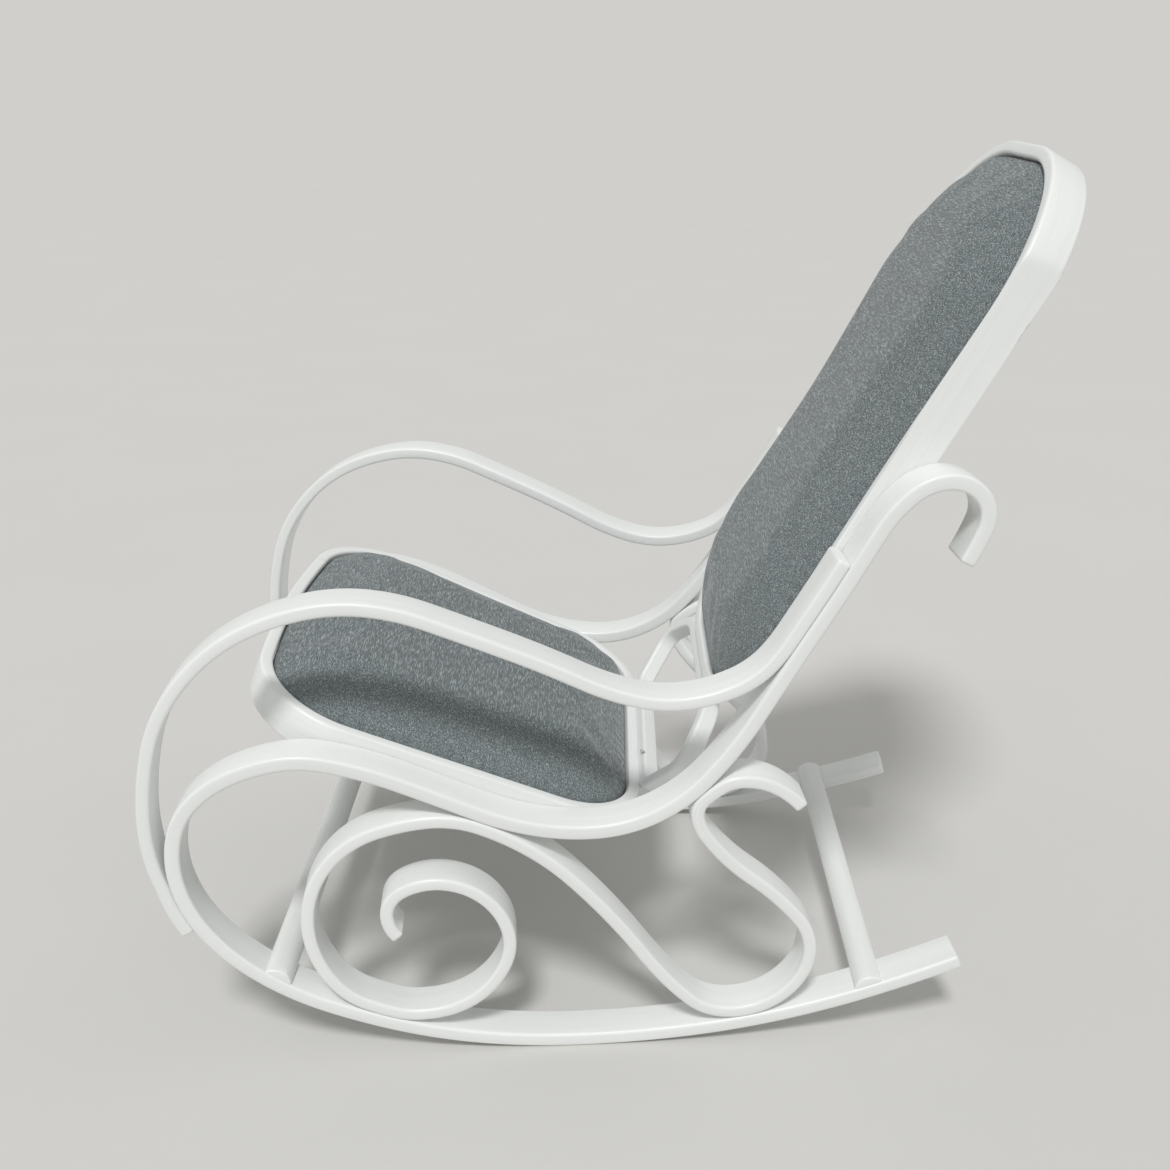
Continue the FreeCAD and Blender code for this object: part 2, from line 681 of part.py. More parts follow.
# The tie ring's screws go up into the seat ring from below and on into the back ring.
lowerScrewY = 9 - size("tie_thick") / 2
upperScrewY = size("tie_tall") - size("tie_thick") / 2 + 0.5
tieScrews = screwGroup("tie_screws", "joint_screw", [
    placed(tiePlace, x, lowerScrewY, 0.5 - size("tie_depth"), Vector(0, 0.2, 1)) for x in (-70, 70)] + [
    placed(tiePlace, x, upperScrewY, -size("tie_depth") / 2, Vector(0, 1, 0)) for x in (-35, 35)])

cleatUnder = -size("panel_drop") - size("panel_thick") - size("cover_thick") - size("cleat_tall")
upwards = Vector(0, 0, 1)
seatPanelScrews = screwGroup("seat_panel_screws", "panel_screw", [
    placed(seatPlace, x, y, cleatUnder, upwards) for x, y in (
        (seatCleatX - cleatMiddle, seatCleatAt), (cleatMiddle - seatCleatX, seatCleatAt),
        (0, seatCleatFront + cleatMiddle), (0, seatCleatRear - cleatMiddle))])
backPanelScrews = screwGroup("back_panel_screws", "panel_screw", [
    placed(backPlace, x, y, cleatUnder, upwards) for x, y in (
        (backCleatX - cleatMiddle, backCleatAt), (cleatMiddle - backCleatX, backCleatAt),
        (0, backCleatFoot + cleatMiddle), (0, backCleatTop - cleatMiddle))])

# Every wooden part is cut where screws and cross bars go into it.
nodes = []
for side in sidePlaces:
    nodes.append(cutAway("side_rail_" + side, strips["side_rail_" + side],
                         list(bars.values()) + [armScrews, scrollScrews, barScrews, seatScrews, backScrews]))
    nodes.append(cutAway("arm_" + side, strips["arm_" + side], [armScrews]))
    nodes.append(cutAway("scroll_" + side, strips["scroll_" + side], [scrollScrews]))
nodes += [cutAway(label, bar, [barScrews]) for label, bar in bars.items()]
nodes.append(cutAway("seat_frame", seatRing, [seatScrews, tieScrews]))
nodes.append(cutAway("back_frame", backRing, [backScrews, tieScrews]))
nodes.append(cutAway("tie_ring", tieBlank, [seatRing, backRing, tieScrews]))
nodes.append(cutAway("seat_cleats", seatCleats, [seatPanelScrews]))
nodes.append(cutAway("back_cleats", backCleats, [backPanelScrews]))
nodes.append(cutAway("seat_panel", seatPanel, [seatPanelScrews]))
nodes.append(cutAway("back_panel", backPanel, [backPanelScrews]))
nodes += [seatFoam, seatCover, backFoam, backCover]
nodes += [armScrews, scrollScrews, barScrews, seatScrews, backScrews, tieScrews]
nodes += [seatPanelScrews, backPanelScrews]
doc.recompute()

for item in doc.Objects:
    if "Invalid" in item.State or "Error" in item.State:
        raise RuntimeError("failed: %s %s" % (item.Label, item.State))

whole = FreeCAD.BoundBox()
for node in nodes:
    if node.Shape.isNull() or not node.Shape.isValid():
        raise RuntimeError("bad shape: " + node.Label)
    node.Shape.exportStep("parts/%s.step" % node.Label)
    whole.add(node.Shape.BoundBox)
    print("%-20s %2d solids %9.1f cm3" % (node.Label, len(node.Shape.Solids), node.Shape.Volume / 1000))
print("size %.1f %.1f %.1f, middle y %.2f, floor %.3f" % (
    whole.XLength, whole.YLength, whole.ZLength, whole.Center.y, whole.ZMin))
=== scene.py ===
import math

import bmesh
import bpy
import numpy as np
from mathutils import Matrix, Vector


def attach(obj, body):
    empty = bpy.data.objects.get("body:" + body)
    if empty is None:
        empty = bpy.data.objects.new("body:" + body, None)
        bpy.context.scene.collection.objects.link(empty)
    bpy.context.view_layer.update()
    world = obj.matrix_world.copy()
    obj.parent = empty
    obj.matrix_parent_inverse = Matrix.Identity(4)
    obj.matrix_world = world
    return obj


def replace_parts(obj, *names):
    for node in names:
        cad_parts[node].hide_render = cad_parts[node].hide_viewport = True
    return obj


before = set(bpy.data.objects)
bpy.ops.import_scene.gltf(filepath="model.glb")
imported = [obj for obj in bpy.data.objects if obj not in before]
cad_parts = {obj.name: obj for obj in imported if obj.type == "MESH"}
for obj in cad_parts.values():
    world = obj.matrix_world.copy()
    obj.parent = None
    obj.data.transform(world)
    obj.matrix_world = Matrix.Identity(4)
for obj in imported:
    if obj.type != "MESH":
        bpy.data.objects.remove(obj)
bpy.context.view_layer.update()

# Bentwood rocking chair: white painted strips and rings, grey upholstery.
# Lengths are metres in the chair's own frame: +X to the sitter's left, the chair faces -Y.

scene = bpy.context.scene
print("frame loaded:", len(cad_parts), "nodes")


# One wire is one output socket; sums and products of wires add their Math nodes.
class Wire:
    def __init__(self, graph, socket):
        self.graph, self.socket = graph, socket

    def math(self, operation, *others):
        return self.graph.add("ShaderNodeMath", {"operation": operation}, dict(enumerate((self,) + others)))

    def __add__(self, other):
        return self.math("ADD", other)

    def __sub__(self, other):
        return self.math("SUBTRACT", other)

    def __mul__(self, other):
        return self.math("MULTIPLY", other)

    __radd__ = __add__

    def __rsub__(self, other):
        return (self * -1) + other

    def clamp(self):
        return self.math("MAXIMUM", 0).math("MINIMUM", 1)


class Graph:
    def __init__(self, name):
        self.material = bpy.data.materials.new(name)
        self.material.use_nodes = True
        self.tree = self.material.node_tree
        self.shader = self.tree.nodes["Principled BSDF"]

    # adds a node of a type: settings first, then values or wires for its inputs
    def add(self, kind, settings=None, inputs=None, output=0):
        node = self.tree.nodes.new(kind)
        for key, value in (settings or {}).items():
            setattr(node, key, value)
        for key, value in (inputs or {}).items():
            self.link(value, node.inputs[key])
        return Wire(self, node.outputs[output])

    def link(self, value, socket):
        if isinstance(value, Wire):
            self.tree.links.new(value.socket, socket)
        else:
            socket.default_value = value

    def mix(self, amount, first, second):
        return self.add("ShaderNodeMix", {"data_type": "RGBA"}, {0: amount, 6: first, 7: second}, output=2)

    def noise(self, vector, scale, detail=2.0, rough=0.5):
        return self.add("ShaderNodeTexNoise", None,
                        {"Vector": vector, "Scale": scale, "Detail": detail, "Roughness": rough})

    # a vector with each of its parts scaled on its own
    def stretch(self, vector, scales, shift=(0, 0, 0)):
        return self.add("ShaderNodeMapping", None, {"Vector": vector, "Scale": scales, "Location": shift})

    def attribute(self, name):
        return self.add("ShaderNodeAttribute", {"attribute_name": name}, output=1)

    def bump(self, height, distance, strength=1.0):
        return self.add("ShaderNodeBump", None,
                        {"Height": height, "Distance": distance, "Strength": strength})

    def feed(self, **sockets):
        for key, value in sockets.items():
            self.link(value, self.shader.inputs[key.replace("_", " ")])
        return self.material


def linear(red, green, blue):
    parts = [value / 255 for value in (red, green, blue)]
    lit = [part / 12.92 if part < 0.04 else ((part + 0.055) / 1.055) ** 2.4 for part in parts]
    return (*lit, 1.0)


# Paint: satin white, brushed along each strip. The strip coordinate is (along, across, through).
paint = {"light": linear(242, 244, 243), "dull": linear(232, 234, 232), "roughness": 0.34,
         "strokeLength": 0.09, "strokeWidth": 0.0016, "strokeDepth": 0.00009}


def paintMaterial():
    g = Graph("whitePaint")
    strip = g.attribute("strip")
    narrow, long = 1 / paint["strokeWidth"], 1 / paint["strokeLength"]
    strokes = g.noise(g.stretch(strip, (long, narrow, narrow)), 1.0, 3.0, 0.55)
    broad = g.noise(g.stretch(strip, (long / 3, narrow / 9, narrow / 9)), 1.0, 2.0, 0.5)
    grain = g.noise(g.stretch(strip, (long * 2.5, narrow * 2.2, narrow * 2.2), (3, 1, 7)), 1.0, 1.0, 0.4)
    uneven = g.noise(strip, 22.0, 2.0, 0.5)
    tone = (strokes * 0.5 + broad * 0.5).clamp()
    colour = g.mix((tone - 0.3) * 2.2, paint["dull"], paint["light"])
    height = strokes * 0.55 + broad * 0.9 + grain * 0.3
    normal = g.bump(uneven, 0.0009, 0.5)
    brushed = g.add("ShaderNodeBump", None,
                    {"Height": height, "Distance": paint["strokeDepth"], "Strength": 0.9, "Normal": normal})
    roughness = paint["roughness"] + strokes * 0.12 - broad * 0.06
    return g.feed(Base_Color=colour, Roughness=roughness, Normal=brushed)


# Cloth: heathered grey with short pale and dark flecks that run across the chair.
cloth = {"mid": linear(131, 139, 140), "pale": linear(176, 185, 186), "dark": linear(76, 84, 86),
         "fleckLength": 0.0100, "fleckWidth": 0.00085, "thread": 0.0009, "drift": 0.0014,
         "pullDepth": 0.0011, "weaveDepth": 0.0005}


def clothMaterial():
    g = Graph("greyCloth")
    place = g.add("ShaderNodeTexCoord", None, None, output=3)
    fine, long = 1 / cloth["fleckWidth"], 1 / cloth["fleckLength"]
    drift = g.add("ShaderNodeTexNoise", None, {"Vector": place, "Scale": 60.0, "Detail": 1.0}, output=1)
    bent = g.add("ShaderNodeVectorMath", {"operation": "MULTIPLY_ADD"},
                 {0: drift, 1: (0.0, cloth["drift"], cloth["drift"]), 2: place})
    flecks = g.noise(g.stretch(bent, (long, fine, fine)), 1.0, 1.0, 0.5)
    second = g.noise(g.stretch(bent, (long * 0.8, fine * 0.85, fine * 0.85), (5, 9, 2)), 1.0, 1.0, 0.5)
    pale = ((flecks - 0.5) * 6).clamp()
    dark = ((0.49 - second) * 6).clamp()
    threads = g.noise(g.stretch(place, (1 / cloth["thread"],) * 3), 1.0, 1.0, 0.5)
    base = g.mix((threads - 0.25) * 1.3, cloth["dark"], cloth["mid"])
    colour = g.mix(pale * 0.7, g.mix(dark * 0.6, base, cloth["dark"]), cloth["pale"])
    pulls = g.add("ShaderNodeAttribute", {"attribute_name": "pull"}, output=2)
    height = flecks * 0.5 + threads * 0.5
    soft = g.bump(pulls, cloth["pullDepth"], 0.8)
    woven = g.add("ShaderNodeBump", None,
                  {"Height": height, "Distance": cloth["weaveDepth"], "Strength": 0.8, "Normal": soft})
    g.feed(Sheen_Weight=0.25, Sheen_Roughness=0.5)
    return g.feed(Base_Color=colour, Roughness=0.88 + threads * 0.08, Normal=woven)


def woodMaterial(name, pale, deep):
    g = Graph(name)
    place = g.add("ShaderNodeTexCoord", None, None, output=3)
    rings = g.noise(g.stretch(place, (6, 60, 60)), 1.0, 3.0, 0.6)
    pores = g.noise(g.stretch(place, (90, 900, 900)), 1.0, 2.0, 0.5)
    colour = g.mix((rings * 0.8 + pores * 0.4 - 0.3).clamp(), pale, deep)
    return g.feed(Base_Color=colour, Roughness=0.62 + pores * 0.2, Normal=g.bump(pores, 0.0002, 0.5))


def zincMaterial():
    g = Graph("zincScrew")
    place = g.add("ShaderNodeTexCoord", None, None, output=3)
    frost = g.noise(place, 900.0, 2.0, 0.5)
    g.feed(Metallic=1.0)
    colour = g.mix(frost, linear(168, 170, 172), linear(205, 206, 208))
    return g.feed(Base_Color=colour, Roughness=0.3 + frost * 0.2)


finishes = {
    "paint": paintMaterial(),
    "cloth": clothMaterial(),
    "plywood": woodMaterial("plywood", linear(214, 186, 148), linear(178, 142, 102)),
    "cleat": woodMaterial("beechCleat", linear(224, 206, 178), linear(204, 180, 146)),
    "screws": zincMaterial(),
}
print("materials made")


# A centre line is a row of arcs, each (x, y, heading, curvature, length).
def arcTo(x, y, heading, endX, endY):
    dx, dy = endX - x, endY - y
    ahead = dx * math.cos(heading) + dy * math.sin(heading)
    aside = dy * math.cos(heading) - dx * math.sin(heading)
    curvature = 2 * aside / (dx * dx + dy * dy)
    sweep = 2 * math.atan2(aside, ahead)
    length = sweep / curvature if abs(curvature) > 1e-6 else math.hypot(dx, dy)
    return [x, y, heading, curvature, length]


# point on an arc: start + s * sinc(curvature * s / 2) along the heading turned by half the sweep
def along(arc, distance):
    x, y, heading, curvature = arc[:4]
    distance = np.asarray(distance, float)
    half = curvature * distance / 2
    reach = distance * np.sinc(half / math.pi)
    return x + reach * np.cos(heading + half), y + reach * np.sin(heading + half), heading + 2 * half


def backwards(arc):
    x, y, heading = along(arc, arc[4])
    return [float(x), float(y), float(heading) + math.pi, -arc[3], arc[4]]


# two tangent arcs between two stations, with equal tangent lengths at both ends
def twoArcs(start, end):
    (x0, y0, h0), (x1, y1, h1) = start, end
    t0, t1 = np.array([math.cos(h0), math.sin(h0)]), np.array([math.cos(h1), math.sin(h1)])
    v = np.array([x1 - x0, y1 - y0])
    spread = 2 * (1 - t0 @ t1)
    side = v @ (t0 + t1)
    if spread < 1e-9:
        reach = (v @ v) / (4 * (v @ t1))
    else:
        reach = (math.sqrt(side * side + spread * (v @ v)) - side) / spread
    mx, my = (np.array([x0 + x1, y0 + y1]) + reach * (t0 - t1)) / 2
    return [arcTo(x0, y0, h0, mx, my), backwards(arcTo(x1, y1, h1 + math.pi, mx, my))]


def chainThrough(stations):
    return [arc for pair in zip(stations, stations[1:]) for arc in twoArcs(*pair)]


def offsetChain(chain, gap):
    return [[x - gap * math.sin(h), y + gap * math.cos(h), h, k / (1 - k * gap), s * (1 - k * gap)]
            for x, y, h, k, s in chain]


# samples a step apart: arrays of x, y, heading and distance
def sampleChain(chain, step):
    rows, passed = [], 0.0
    for arc in chain:
        s = np.linspace(0, arc[4], max(2, int(arc[4] / step) + 1), endpoint=False)
        rows.append(np.stack([*along(arc, s), passed + s]))
        passed += arc[4]
    x, y, heading = along(chain[-1], chain[-1][4])
    rows.append(np.array([[x], [y], [heading], [passed]]))
    return np.hstack(rows)


searchStep = 0.0004


def nearestStation(chain, x, y, turned=False):
    rows = sampleChain(chain, searchStep)
    at = np.argmin(np.hypot(rows[0] - x, rows[1] - y))
    return float(rows[0, at]), float(rows[1, at]), float(rows[2, at]) + (math.pi if turned else 0)


# the stretch of a chain between the places nearest to two points
def stretchOf(chain, start, end):
    rows = sampleChain(chain, searchStep)
    first, last = [rows[3, np.argmin(np.hypot(rows[0] - p[0], rows[1] - p[1]))] for p in (start, end)]
    cut, passed = [], 0.0
    for arc in chain:
        a, b = max(first - passed, 0), min(last - passed, arc[4])
        if b - a > 1e-7:
            x, y, h = along(arc, a)
            cut.append([float(x), float(y), float(h), arc[3], b - a])
        passed += arc[4]
    return cut


# rounded rectangle of width by height around 0, inset on every side: four quarter circles
def roundedRectangle(width, height, radius, inset=0.0, steps=5):
    angles = (np.arange(4)[:, None] * 90 + np.linspace(0, 90, steps)[None, :]).ravel() * math.pi / 180
    corner = np.repeat([[1, 1], [-1, 1], [-1, -1], [1, -1]], steps, axis=0)
    centre = corner * np.array([width / 2 - radius, height / 2 - radius])
    return centre + (radius - inset) * np.stack([np.cos(angles), np.sin(angles)], 1)


def meshObject(name, points, faces, finish, attributes=None):
    mesh = bpy.data.meshes.new(name)
    mesh.from_pydata(np.asarray(points).tolist(), [], faces)
    mesh.polygons.foreach_set("use_smooth", [len(face) == 4 for face in faces])
    for key, values in (attributes or {}).items():
        kind = "FLOAT_VECTOR" if values.ndim == 2 else "FLOAT"
        layer = mesh.attributes.new(key, kind, "POINT")
        layer.data.foreach_set("vector" if values.ndim == 2 else "value", values.astype(np.float32).ravel())
    mesh.materials.append(finishes[finish])
    mesh.update()
    thing = bpy.data.objects.new(name, mesh)
    scene.collection.objects.link(thing)
    return thing


# quads between rows of a grid; closed rows wrap round, and so do the columns of a ring
def gridFaces(rows, columns, wrapRows=False):
    r = np.arange(rows if wrapRows else rows - 1)[:, None]
    c = np.arange(columns)[None, :]
    a, b = r * columns + c, r * columns + (c + 1) % columns
    up = ((r + 1) % rows) * columns
    return np.stack([a, b, up + (c + 1) % columns, up + c], -1).reshape(-1, 4).tolist()


def markSharp(thing, degrees):
    thing.data.set_sharp_from_angle(angle=math.radians(degrees))


# Side frames: stations (along, up, heading) of the strips' middle lines, from the middle of
# the rocker, as they are in the chair's source.
sides = {
    "width": 0.040, "rail": 0.016, "arm": 0.014, "scroll": 0.014, "edge": 0.0032, "halfWidth": 0.2575,
    "splay": math.radians(4.57), "foreShift": 0.0235, "step": 0.004,
    "railStations": (
        (424, 97, 203), (230, 32, 193), (2, 8, 180), (-181, 35, 162.5), (-329, 109.5, 140),
        (-396, 212, 103), (-394, 282, 73), (-338, 343, 26), (-243, 357, -13), (-95, 298, -25),
        (25, 273, 3), (136, 330, 50), (224, 475, 61), (268, 556, 63), (314, 628, 42),
        (379, 628, -49), (372, 560, -116)),
    "armLow": ((-392, 162), (-411, 209)),
    "armHigh": ((212, 484), (251, 567)),
    "armStations": (
        (-418.5, 240, 100.5), (-410, 374, 75), (-352, 469, 43), (-249, 519.5, 11), (-139, 507, -22),
        (9, 442, -27), (123, 419, 10.5), (194, 457, 51)),
    "curl": ((236, 296, 130), (171, 327.5, 183.5)),
    "rearLoop": ((138.5, 264, 305), (243, 157, 308)),
    "rise": ((133, 54.5, 138), (76, 122, 124.5)),
    "frontLoop": ((-198, 277, 200), (-268, 196, 257), (-243, 86, 309)),
    "spiral": ((-138, 51, 11.5), (-67, 115, 71), (-84, 189.5, 132), (-175, 204.5, 212), (-179, 149, 313)),
    "touches": ((137, 306), (192, 40), (-92, 282), (-185, 52)),
}


def stations(rows):
    return [(x / 1000, y / 1000, math.radians(heading)) for x, y, heading in rows]


def millimetres(pair):
    return tuple(value / 1000 for value in pair)


railChain = chainThrough(stations(sides["railStations"]))
armSide = offsetChain(railChain, (sides["rail"] + sides["arm"]) / 2)
armLow = stretchOf(armSide, *map(millimetres, sides["armLow"]))
armHigh = stretchOf(armSide, *map(millimetres, sides["armHigh"]))
armLeaves = tuple(float(value) for value in along(armLow[-1], armLow[-1][4]))
armFree = [armLeaves] + stations(sides["armStations"]) + [tuple(armHigh[0][:3])]
armChain = armLow + chainThrough(armFree) + armHigh
scrollSide = offsetChain(railChain, -(sides["rail"] + sides["scroll"]) / 2)
curlTouch, heelTouch, crownTouch, toeTouch = [
    nearestStation(scrollSide, *millimetres(point), turned)
    for point, turned in zip(sides["touches"], (True, False, True, True))]
scrollChain = chainThrough(
    stations(sides["curl"]) + [curlTouch] + stations(sides["rearLoop"]) + [heelTouch]
    + stations(sides["rise"]) + [crownTouch] + stations(sides["frontLoop"]) + [toeTouch]
    + stations(sides["spiral"]))


# from side-frame coordinates (along, up, across from the outer face) to the chair's, for one side
def toSide(u, up, across, sign):
    cos, sin = math.cos(sides["splay"]), math.sin(sides["splay"])
    x = sides["halfWidth"] - u * sin - across * cos
    y = u * cos - across * sin - sides["foreShift"]
    return np.stack([sign * x, y, up], -1)


# a strip: its profile carried along the middle line; at the ends the profile draws in by
# a quarter circle, r * (1 - cos), while it moves on by r * sin
def bentStrip(name, chain, thick, sign, seed):
    rows = sampleChain(chain, sides["step"])
    radius, turns = sides["edge"], np.radians([0, 30, 60, 90])
    ends = radius * np.sin(turns)
    keep = (rows[3] > radius) & (rows[3] < rows[3, -1] - radius)
    total = rows[3, -1]
    distance = np.concatenate([radius - ends[::-1], rows[3, keep], total - radius + ends])
    heading = np.interp(distance, rows[3], np.unwrap(rows[2]))
    x, y = np.interp(distance, rows[3], rows[0]), np.interp(distance, rows[3], rows[1])
    drawIn = radius * (1 - np.cos(turns))
    inset = np.concatenate([drawIn[::-1], np.zeros(keep.sum()), drawIn])
    corner = radius + 1e-5
    drawn = np.stack([roundedRectangle(sides["width"], thick, corner, value) for value in inset])
    across, through = drawn[:, :, 0], drawn[:, :, 1]
    u = x[:, None] - through * np.sin(heading)[:, None]
    up = y[:, None] + through * np.cos(heading)[:, None]
    points = toSide(u, up, sides["width"] / 2 - across, sign).reshape(-1, 3)
    count, columns = across.shape
    faces = gridFaces(count, columns)
    faces += [list(range(columns))[::-1], list(range((count - 1) * columns, count * columns))]
    if sign < 0:
        faces = [face[::-1] for face in faces]
    far = np.broadcast_to(distance[:, None], across.shape) + seed
    strip = np.stack([far, across, through], -1).reshape(-1, 3)
    thing = meshObject(name, points, faces, "paint", {"strip": strip})
    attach(thing, "root")
    return thing


parts = (("side_rail", railChain, "rail", 0.0), ("arm", armChain, "arm", 7.0),
         ("scroll", scrollChain, "scroll", 13.0))
for sideName, sign in (("left", 1), ("right", -1)):
    for part, chain, thickness, seed in parts:
        thick = sides[thickness]
        piece = bentStrip("%s_%s_bent" % (part, sideName), chain, thick, sign, seed + 3 * sign)
        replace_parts(piece, "%s_%s" % (part, sideName))
print("side frames made")


# Cross bars: a flat foot and a rounded top, with softened ends.
bars = {"width": 0.030, "tall": 0.017, "shoulder": 0.55, "letIn": 0.007, "inset": 0.0015,
        "softEnd": 0.002, "edge": 0.0004, "rows": 60, "facets": 18, "front": (-309, 97), "rear": (329, 64)}


def crossBar(name, point):
    u, up, heading = nearestStation(railChain, *millimetres(point))
    lean = heading - math.pi
    half, tall, shoulder = bars["width"] / 2, bars["tall"], bars["tall"] * bars["shoulder"]
    rise = tall - shoulder
    radius = (half * half + rise * rise) / (2 * rise)
    reach = math.asin(half / radius)
    angles = np.linspace(-reach, reach, bars["facets"] + 1)
    top = np.stack([radius * np.sin(angles), tall - radius * (1 - np.cos(angles))], 1)
    edge = bars["edge"]
    walls = np.array([[half, shoulder * 0.5], [half - edge, edge], [half * 0.5, 0], [0, 0],
                      [-half * 0.5, 0], [-half + edge, edge], [-half, shoulder * 0.5]])
    profile = np.vstack([top, walls])
    middle = np.array([0, tall / 2])
    turns = np.radians([90, 60, 30, 0])
    soft = bars["softEnd"]
    cos, slope = math.cos(sides["splay"]), math.tan(sides["splay"])
    y = (u - math.sin(sides["splay"]) * sides["width"] / 2) * cos - sides["foreShift"]
    ends = sides["halfWidth"] - bars["inset"] / cos - slope * (y + sides["foreShift"])
    middleX = np.linspace(-ends + soft, ends - soft, bars["rows"])
    outer, drawIn = soft * np.sin(turns), soft * (1 - np.cos(turns))
    x = np.concatenate([-ends + soft - outer, middleX, ends - soft + outer[::-1]])
    shrink = np.concatenate([drawIn, np.zeros(bars["rows"]), drawIn[::-1]])
    scale = 1 - shrink[:, None] / np.array([half, tall / 2])[None, :]
    shape = middle + (profile[None] - middle) * scale[:, None, :]
    foot = sides["rail"] / 2 - bars["letIn"]
    forward, upward = shape[..., 0], shape[..., 1] + foot
    away = forward * math.cos(lean) - upward * math.sin(lean)
    swell = np.sign(x)[:, None] * slope * away * (np.abs(x)[:, None] / ends)
    points = np.stack([x[:, None] - swell, y + away,
                       up + forward * math.sin(lean) + upward * math.cos(lean)], -1)
    columns = profile.shape[0]
    faces = gridFaces(x.size, columns)
    faces += [list(range(columns))[::-1], list(range((x.size - 1) * columns, x.size * columns))]
    faces = [face[::-1] for face in faces]
    strip = np.stack([np.broadcast_to(x[:, None], forward.shape) + 31, forward, upward], -1).reshape(-1, 3)
    thing = meshObject(name, points.reshape(-1, 3), faces, "paint", {"strip": strip})
    markSharp(thing, 50)
    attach(thing, "root")
    return thing


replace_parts(crossBar("front_bar", bars["front"]), "front_stretcher")
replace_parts(crossBar("rear_bar", bars["rear"]), "rear_stretcher")
print("cross bars made")


# Rings: outlines with rounded corners, in a plane of their own.
rings = {
    "thick": 0.014, "deep": 0.040, "edge": 0.0034, "step": 0.005,
    "seatLean": math.radians(22.3), "seatFoot": (-0.3382, 0.4194), "seatLong": 0.4456, "seatBow": 0.017,
    "seatFrontTurn": 0.108, "seatRearTurn": 0.100, "seatNose": (-0.0059, 1.4),
    "backLean": math.radians(28.1), "backFoot": (0.1396, 0.3565), "backLong": 0.646, "backTopHalf": 0.202,
    "backFootTurn": 0.1475, "backTopTurn": 0.1587, "waistAt": 0.338, "waistTurn": 1.5,
    "planedOff": 0.001,
    "tieRise": math.radians(55), "tieFoot": (0.083, 0.251), "tieThick": 0.015, "tieDeep": 0.020,
    "tieCorners": ((0.128, 0.0, 0.022), (0.170, 0.062, 0.028), (0.116, 0.113, 0.060)),
}


def insideHalf(y):
    return sides["halfWidth"] - sides["width"] / math.cos(sides["splay"]) - math.tan(sides["splay"]) * y


def mirrored(rightHalf):
    return list(rightHalf) + [(-x, y, radius) for x, y, radius in reversed(rightHalf) if x > 0]


# corners moved inwards by a gap, with concentric arcs
def insetCorners(corners, gap):
    moved = []
    for index, (x, y, radius) in enumerate(corners):
        before, after = corners[index - 1], corners[(index + 1) % len(corners)]
        inAngle = math.atan2(y - before[1], x - before[0])
        turn = (math.atan2(after[1] - y, after[0] - x) - inAngle + math.pi) % (2 * math.pi) - math.pi
        middle, reach = inAngle + turn / 2 + math.pi / 2, gap / math.cos(turn / 2)
        moved.append((x + reach * math.cos(middle), y + reach * math.sin(middle),
                      radius - gap if turn > 0 else radius + gap))
    return moved


# a closed chain of arcs and straight runs round a set of corners
def closedChain(corners):
    arcs = []
    for index, (x, y, radius) in enumerate(corners):
        before, after = corners[index - 1], corners[(index + 1) % len(corners)]
        inAngle = math.atan2(y - before[1], x - before[0])
        outAngle = math.atan2(after[1] - y, after[0] - x)
        turn = (outAngle - inAngle + math.pi) % (2 * math.pi) - math.pi
        reach = radius * abs(math.tan(turn / 2))
        arcs.append([x - reach * math.cos(inAngle), y - reach * math.sin(inAngle), inAngle,
                     math.copysign(1 / radius, turn), radius * abs(turn)])
    chain = []
    for arc, following in zip(arcs, arcs[1:] + arcs[:1]):
        x, y, heading = [float(value) for value in along(arc, arc[4])]
        run = math.hypot(following[0] - x, following[1] - y)
        chain += [arc, [x, y, heading, 0.0, run]]
    return chain


# a plane's own (x, up, out) to the chair's frame, where up leans back by an angle from flat
def planePlace(foot, rise):
    up = np.array([0, math.cos(rise), math.sin(rise)])
    out = np.array([0, -math.sin(rise), math.cos(rise)])
    base = np.array([0, foot[0] - sides["foreShift"], foot[1]])
    return base, up, out


def toPlane(x, up, out, place):
    base, upAxis, outAxis = place
    return base + x[..., None] * np.array([1.0, 0, 0]) + up[..., None] * upAxis + out[..., None] * outAxis


seatPlace = planePlace(rings["seatFoot"], -rings["seatLean"])
backPlace = planePlace(rings["backFoot"], math.pi / 2 - rings["backLean"])
tiePlace = planePlace(rings["tieFoot"], rings["tieRise"])

# The seat ring is widest at its lower edge; the back ring is waisted where the posts hold it.
lowerEdge = rings["seatFoot"][0] - rings["deep"] * math.sin(rings["seatLean"])
seatFrontHalf = insideHalf(lowerEdge + rings["seatBow"] * math.cos(rings["seatLean"]))
seatRearHalf = insideHalf(lowerEdge + rings["seatLong"] * math.cos(rings["seatLean"]))
seatCorners = mirrored([
    (0, *rings["seatNose"]),
    (seatFrontHalf, rings["seatBow"], rings["seatFrontTurn"]),
    (seatRearHalf, rings["seatLong"], rings["seatRearTurn"])])
backFootHalf = insideHalf(rings["backFoot"][0]) + rings["planedOff"]
waistY = rings["backFoot"][0] + rings["waistAt"] * math.sin(rings["backLean"])
waistHalf = insideHalf(waistY) + rings["planedOff"]
backCorners = mirrored([
    (backFootHalf, 0, rings["backFootTurn"]),
    (waistHalf, rings["waistAt"], rings["waistTurn"]),
    (rings["backTopHalf"], rings["backLong"], rings["backTopTurn"])])
tieCorners = insetCorners(mirrored(rings["tieCorners"]), -rings["tieThick"] / 2)


